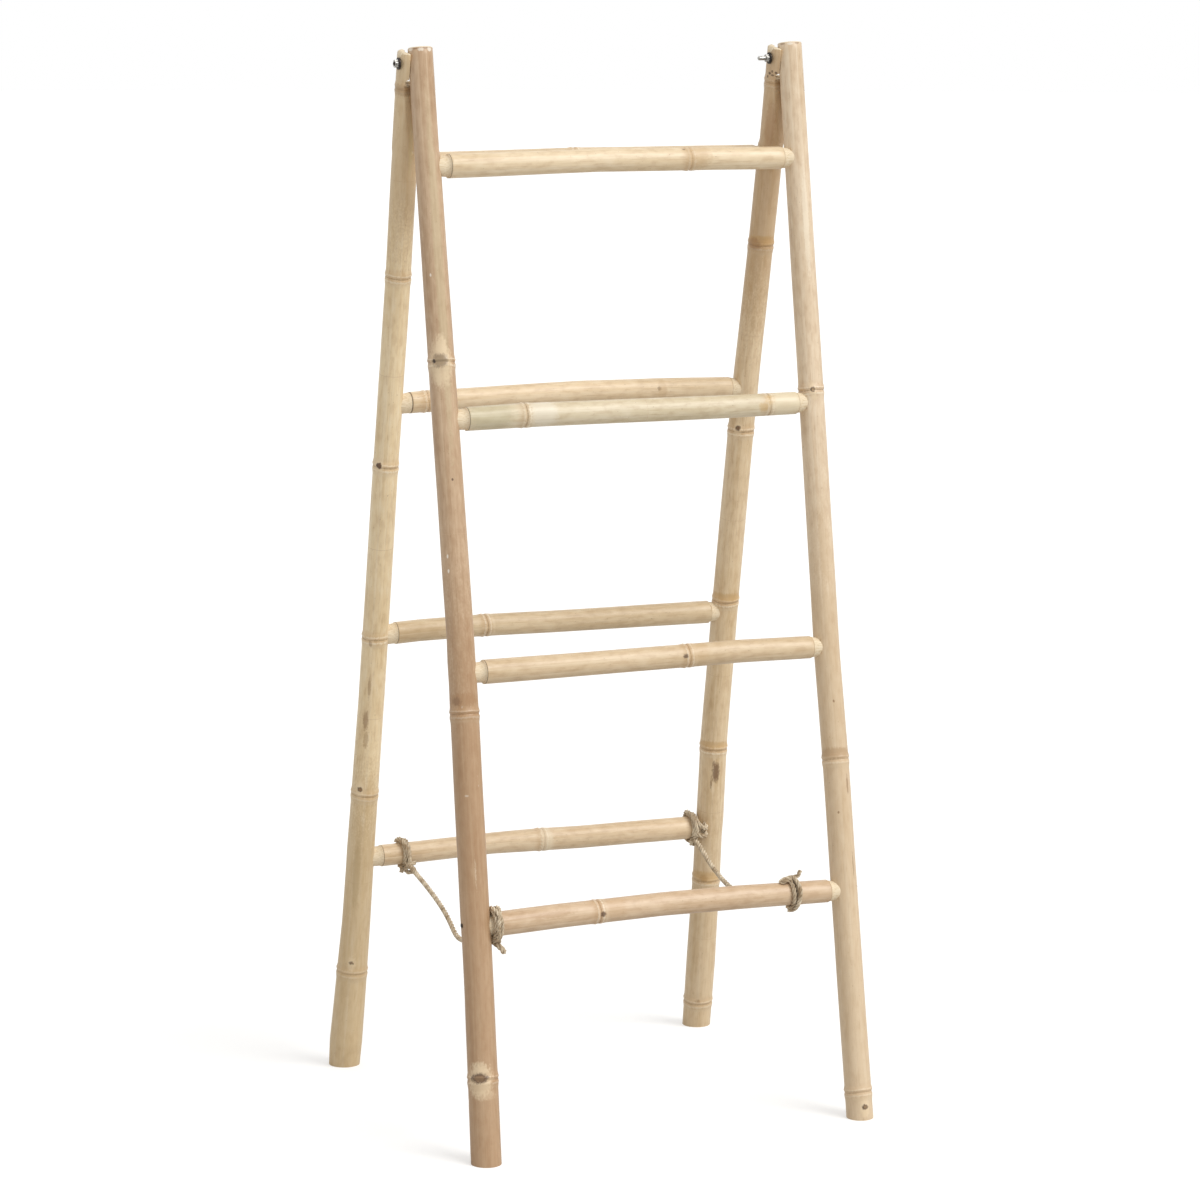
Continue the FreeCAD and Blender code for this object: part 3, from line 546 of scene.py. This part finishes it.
# A pole's row: its side and hand, its nodes in mm from its top, the colours of its skin, stains
# and streaks, its slot, its bud scars and its marks.
pole_skin = (0.0008, 1.6)   # from just below the sawn top to past the foot
poles = (
    ("front", "left", (421.7, 894.5, 1385.2), ("#C8AB8B", "#B18F6C", "#DCC3A2"), "brown_bamboo",
     [(421, -4, 22, 20, 0.6, "#A08A6C"), (1384, -11, 24, 14, 0.95, "#8F7252")],
     [(1250, 0, 1000, 600, "#A47E58", 0.5), (300, 22, 500, 14, "#C9BE96", 0.3),
      (402, 6, 36, 15, bloom, 0.6), (441, -16, 30, 10, bloom, 0.6), (425, 14, 5, 6, stain, 0.6),
      (1384, -20, 6, 4, "#C9B08C", 0.9), (1384, -2, 6, 4, "#C9B08C", 0.9),
      (1407, 4, 14, 34, "#D2B997", 0.5), (1372, -9, 22, 22, "#D9C4A4", 0.5),
      (683, -29, 6, 3, fleck, 0.8), (703, -29, 6, 3, fleck, 0.8), (581, 15, 4, 3, scar, 0.8),
      (306, -20, 5, 3, fleck, 0.7), (1109, 13, 60, 4, "#E0CDB0", 0.6),
      (1084, 13, 22, 2.8, fleck, 0.8), (1096, 8, 16, 2.6, fleck, 0.7),
      (1104, 17, 24, 2.8, fleck, 0.8), (1124, 13, 28, 2.6, fleck, 0.7),
      (1090, 21, 14, 2.6, fleck, 0.7), (1264, 5, 46, 3, "#E3D2B6", 0.6),
      (974, 44, 22, 2.8, fleck, 0.8), (990, 47, 16, 2.8, fleck, 0.7),
      (1005, -6, 3, 6, fleck, 0.35), (90, 10, 120, 1.6, "#7A5636", 0.6),
      (3, -50, 5, 9, fleck, 0.7), (2, -20, 4, 8, dirt, 0.7), (4, 5, 5, 9, fleck, 0.6),
      (2, 28, 4, 8, dirt, 0.7), (4, 50, 6, 8, fleck, 0.7), (60, 22, 100, 1.2, "#8D6A49", 0.5),
      (876, -8, 18, 60, "#A27A52", 0.5), (878, -28, 12, 14, "#7F5E40", 0.5),
      (888, -38, 12, 2.6, fleck, 0.6), (889, -22, 11, 2.4, fleck, 0.6),
      (887, -6, 12, 2.8, fleck, 0.5), (889, 12, 10, 2.4, fleck, 0.6),
      (888, 30, 12, 2.6, fleck, 0.6)]),
    ("front", "right", (483.2, 998.0, 1463.2), ("#E3CDAF", "#D0B694", "#EFDFC5"), "pale_bamboo",
     [(484, 5, 7, 8, 0.95, "#B79B78"), (1485, 23, 9, 8, 0.95, "#8F7454")],
     [(1150, 0, 1000, 600, "#CBB18C", 0.45), (990, 3, 16, 60, "#A9875F", 0.55),
      (918, 10, 4, 3, stain, 0.8), (1035, 48, 28, 4, "#8A6340", 0.6),
      (1146, 50, 40, 3, stain, 0.5), (2, -40, 4, 9, dirt, 0.6), (3, 0, 4, 9, fleck, 0.6),
      (2, 35, 4, 9, dirt, 0.6), (1073, -5, 4, 3, stain, 0.8),
      (45, 10, 110, 1.4, "#9C7A54", 0.5), (700, 10, 120, 12, "#C9AE8A", 0.4),
      (250, 25, 160, 10, "#F3E6CE", 0.5)]),
    ("rear", "left", (47.9, 310.1, 581.3, 834.5, 1071.2, 1346.9),
     ("#F0DBB4", "#DDC397", "#F8EACE"), "pale_bamboo",
     [(579, -28, 9, 9, 0.95, "#6E4F32"), (1061, -19, 8, 8, 0.9, "#8F7048"),
      (1329, -3, 9, 8, 0.8, "#A3845C")],
     [(60, 0, 420, 600, "#C0A27A", 0.5), (1350, 0, 620, 600, "#BFA277", 0.55),
      (110, 30, 110, 8, "#DCCB9C", 0.5), (956, -17, 30, 8, "#8F6B46", 0.65),
      (985, -10, 26, 8, "#A5845C", 0.5), (906, -10, 34, 5, "#8F6B46", 0.5),
      (1383, 8, 5, 4, scar, 0.7), (841, -13, 10, 5, stain, 0.5),
      (1190, -10, 120, 12, "#AE9468", 0.35), (50, 0, 16, 60, "#9C7B55", 0.45)]),
    ("rear", "right", (47.9, 281.7, 555.8, 815.0, 1045.8, 1255.5, 1456.3),
     ("#E3CCA9", "#CFB388", "#F0DFC0"), "pale_bamboo",
     [(551, -16, 8, 8, 0.9, "#7C5C3C")],
     [(120, 0, 560, 600, "#B4926A", 0.5), (1400, 0, 500, 600, "#C4A983", 0.35),
      (1080, 15, 34, 12, "#6E4E32", 0.8), (1098, -4, 26, 5, "#7A593A", 0.6),
      (1068, 2, 14, 5, "#7A593A", 0.6), (1252, -13, 14, 14, "#8F6B46", 0.6),
      (275, 10, 16, 60, "#C09656", 0.5), (280, -35, 18, 22, "#9A7048", 0.5),
      (1249, 0, 18, 70, amber, 0.5), (808, 0, 14, 70, amber, 0.45), (1039, 0, 14, 70, amber, 0.4),
      (36, -45, 4, 5, scar, 0.8), (38, -28, 3, 6, scar, 0.7), (34, -12, 4, 4, scar, 0.8),
      (41, -55, 4, 3, scar, 0.8), (33, -32, 4, 3, scar, 0.7), (44, -5, 6, 6, stain, 0.5),
      (110, -20, 70, 16, "#A87F5C", 0.4), (1452, -2, 8, 10, stain, 0.6)]))
for side, hand, nodes, (skin, deep, pale), slot, buds, marks in poles:
    lean, set_back, top = frames[side]
    node = "%s_%s_pole" % (side, hand)
    home = (Matrix.Translation((0, 0, top)) @ Matrix.Scale(-1, 4, (0, 0, 1))
            @ Matrix.Rotation(-lean, 4, "X") @ Matrix.Translation(-hinge))
    for mark in buds:
        marks = marks + bud(*mark)
    raised = [(along * 0.001, facing(pole_view, turn), wide * 0.001)
              for along, turn, wide, *_ in buds]
    wax = bamboo("waxed_bamboo_" + node, skin, deep, pale, pole_view, marks)
    pole = culm(node, side + "_frame", home, set_back, [n * 0.001 for n in nodes], pole_skin,
                top + straight_length, (), raised, (wax, cut_bamboo))

# A rung's row in mm: its side and number, where its left pole's axis is, the poles' axes apart,
# how far it is below the hinge, the poles' radii there, its nodes, colours and marks. The
# shoulders where its bare tenons end get a dark line round the rung: partly painted shade in
# the step, and partly dirt.
left_bare = 10.5            # mm of bare tenon between the left pole and the shoulder
right_bare = 7.0
tenon_seat = 0.006          # bare tenons are dressed this far into the poles
shoulder_gap = 0.0003       # and end this far before the shoulder's own edge
rungs = (
    ("front", 1, -262.42, 548.07, 140.0, (17.22, 16.98), (380.9,),
     ("#E8D3B1", "#D5BC95", "#F4E4C8"),
     [(392, 20, 40, 60, "#C6A67A", 0.5), (372, 40, 7, 6, scar, 0.7), (289, 5, 4, 3, stain, 0.8)]),
    ("front", 2, -261.17, 546.05, 480.8, (18.15, 17.49), (111.4, 474.0),
     ("#DCCDAF", "#C9B894", "#EDE1CA"),
     [(60, 10, 70, 60, "#B9B08F", 0.5), (138, 0, 40, 60, "#E6DCC8", 0.6),
      (465, -25, 16, 16, "#C8A46A", 0.55), (476, 15, 18, 18, "#CDAA70", 0.5),
      (502, 0, 50, 60, "#E6D6B6", 0.6)]),
    ("front", 3, -260.64, 544.37, 821.6, (19.04, 17.98), (327.7,),
     ("#D9C19E", "#C6AB84", "#EAD7B9"),
     [(322, -10, 8, 8, scar, 0.8), (345, 10, 30, 40, "#C9A97E", 0.4)]),
    ("front", 4, -264.91, 551.81, 1162.4, (19.85, 18.42), (174.9,),
     ("#D6BB9A", "#C0A07C", "#E8D2B6"),
     [(180, -20, 9, 8, scar, 0.8), (110, 5, 60, 10, "#B08D66", 0.5),
      (200, 5, 30, 40, "#C7A57E", 0.4)]),
    ("rear", 1, -274.0, 546.9, 140.0, (17.55, 17.82), (246.1,),
     ("#E1CAA7", "#CDB48D", "#EEDDBF"), []),
    ("rear", 2, -274.59, 541.3, 479.5, (17.55, 18.38), (51.4,),
     ("#E8D1AE", "#D5BB94", "#F3E2C6"),
     [(400, 10, 8, 8, scar, 0.7), (405, 0, 14, 40, "#C9AA80", 0.5)]),
    ("rear", 3, -275.91, 540.75, 819.0, (18.16, 19.07), (162.2,),
     ("#D7C09C", "#C3A982", "#E8D6B7"), [(60, 0, 80, 30, "#BDA178", 0.4)]),
    ("rear", 4, -278.89, 549.37, 1158.5, (19.69, 19.98), (277.4,),
     ("#E1C8A5", "#CDB18A", "#F0DFC2"), [(283, 0, 22, 60, "#E9D9BC", 0.5)]))
for side, number, start, length, below, radii, nodes, (skin, deep, pale), marks in rungs:
    lean, set_back = frames[side][:2]
    node = "%s_rung_%d" % (side, number)
    sideways = Matrix(((0, 0, 1, below * 0.001), (0, 1, 0, 0), (1, 0, 0, -start * 0.001),
                       (0, 0, 0, 1)))
    home = sideways @ Matrix.Rotation(-lean, 4, "X") @ Matrix.Translation(-hinge)
    left = radii[0] + left_bare
    right = length - radii[1] - right_bare
    # Dark lines round the rung at its shoulders: painted shade in the step, with some dirt.
    shoulder_shade_lines = [(left, 2.1, "#57402A", 0.95), (right, 1.6, "#8C6A45", 0.5)]
    wax = bamboo("waxed_bamboo_" + node, skin, deep, pale, rung_view, marks, shoulder_shade_lines)
    tenons = [(radii[0] * 0.001 - tenon_seat, left * 0.001 - shoulder_gap),
              (right * 0.001 + shoulder_gap, (length - radii[1]) * 0.001 + tenon_seat)]
    rung = culm(node, side + "_frame", home, set_back, [n * 0.001 for n in nodes],
                (left * 0.001 - 0.0002, right * 0.001 + 0.0002), 0, tenons, (),
                (wax, cut_bamboo))

# The hinge bolts, nuts, washers and nails: small steel parts. The nuts and the right bolt are
# zinc-plated, a dulled silver with dirt in patches 2 mm wide. The washers and nails are
# blackened by heat and oil, and nearly black. The left bolt gets the same near-black as painted
# shade, so that its end shows as a dark spot in the middle of the bright nut.
metals = (("zinc_plate", 1.0, 0.35, 500, 3, ((0.35, "#77736D"), (0.6, "#C9C7C2")),
           ("right_hinge_bolt", "hinge_nuts")),
          # The left bolt's near-black is painted shade; the washers' and nails' is their own.
          ("blackened_steel_and_shade", 0.8, 0.5, 700, 2, ((0.0, "#2B2520"), (1.0, "#4A423B")),
           ("left_hinge_bolt", "hinge_washers", "rung_nails")))
for finish, metallic, roughness, scale, detail, tones, nodes in metals:
    metal, shader = new_material(finish, roughness)
    shader.inputs["Metallic"].default_value = metallic
    place = add(metal, "TexCoord").outputs["Object"]
    patches = add(metal, "TexNoise", {"Scale": scale, "Detail": detail}, {"Vector": place})
    tone = add(metal, "ValToRGB", (), {"Fac": patches.outputs["Fac"]}, tones)
    metal.node_tree.links.new(tone.outputs["Color"], shader.inputs["Base Color"])
    for node in nodes:
        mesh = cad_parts[node].data
        mesh.materials.clear()
        mesh.materials.append(metal)

# The stage: a plain matt floor that shows nearly white to the camera but throws little light,
# and soft studio light from all round and from the upper right.
shape = bmesh.new()
bmesh.ops.create_circle(shape, cap_ends=True, segments=96, radius=30)
floor_paint, floor_shader = new_material("matt_floor_paint", 0.9)
floor_shader.inputs["Base Color"].default_value = linear("#CBCAC8")
floor_ray = add(floor_paint, "LightPath")
floor_lift = add(floor_paint, "Math", {1: 0.46}, {0: floor_ray.outputs["Is Camera Ray"]},
                 operation="MULTIPLY")
floor_glow = add(floor_paint, "Emission", {"Color": (1, 1, 1, 1)},
                 {"Strength": floor_lift.outputs["Value"]})
floor_sum = add(floor_paint, "AddShader", (), {0: floor_shader.outputs["BSDF"],
                                               1: floor_glow.outputs["Emission"]})
floor_paint.node_tree.links.new(floor_sum.outputs["Shader"],
                                floor_paint.node_tree.nodes["Material Output"].inputs["Surface"])
floor = new_piece("floor", shape, floor_paint)

world = bpy.data.worlds.new("studio")
bpy.context.scene.world = world
world.use_nodes = True
soft_light = world.node_tree.nodes["Background"]
soft_light.inputs["Color"].default_value = (1, 1, 1, 1)
soft_light.inputs["Strength"].default_value = 0.68
backdrop = add(world, "Background", {"Color": (1, 1, 1, 1), "Strength": 1.0})
ray = add(world, "LightPath")
seen = add(world, "Math", (), {0: ray.outputs["Is Camera Ray"], 1: ray.outputs["Is Glossy Ray"]},
           operation="MAXIMUM")
seen = add(world, "Math", (), {0: seen.outputs["Value"], 1: ray.outputs["Is Transmission Ray"]},
           operation="MAXIMUM")
either = add(world, "MixShader", (), {"Fac": seen.outputs["Value"],
                                      1: soft_light.outputs["Background"],
                                      2: backdrop.outputs["Background"]})
world.node_tree.links.new(either.outputs["Shader"],
                          world.node_tree.nodes["World Output"].inputs["Surface"])

key_light = bpy.data.lights.new("key", "SUN")
key_light.angle = math.radians(35)
key_light.energy = 1.9
key = bpy.data.objects.new("key", key_light)
bpy.context.scene.collection.objects.link(key)
key_way = Vector((0.41, -0.56, 0.72)).normalized()
key.matrix_world = key_way.to_track_quat("Z", "Y").to_matrix().to_4x4()
bpy.context.scene.view_settings.view_transform = "Standard"
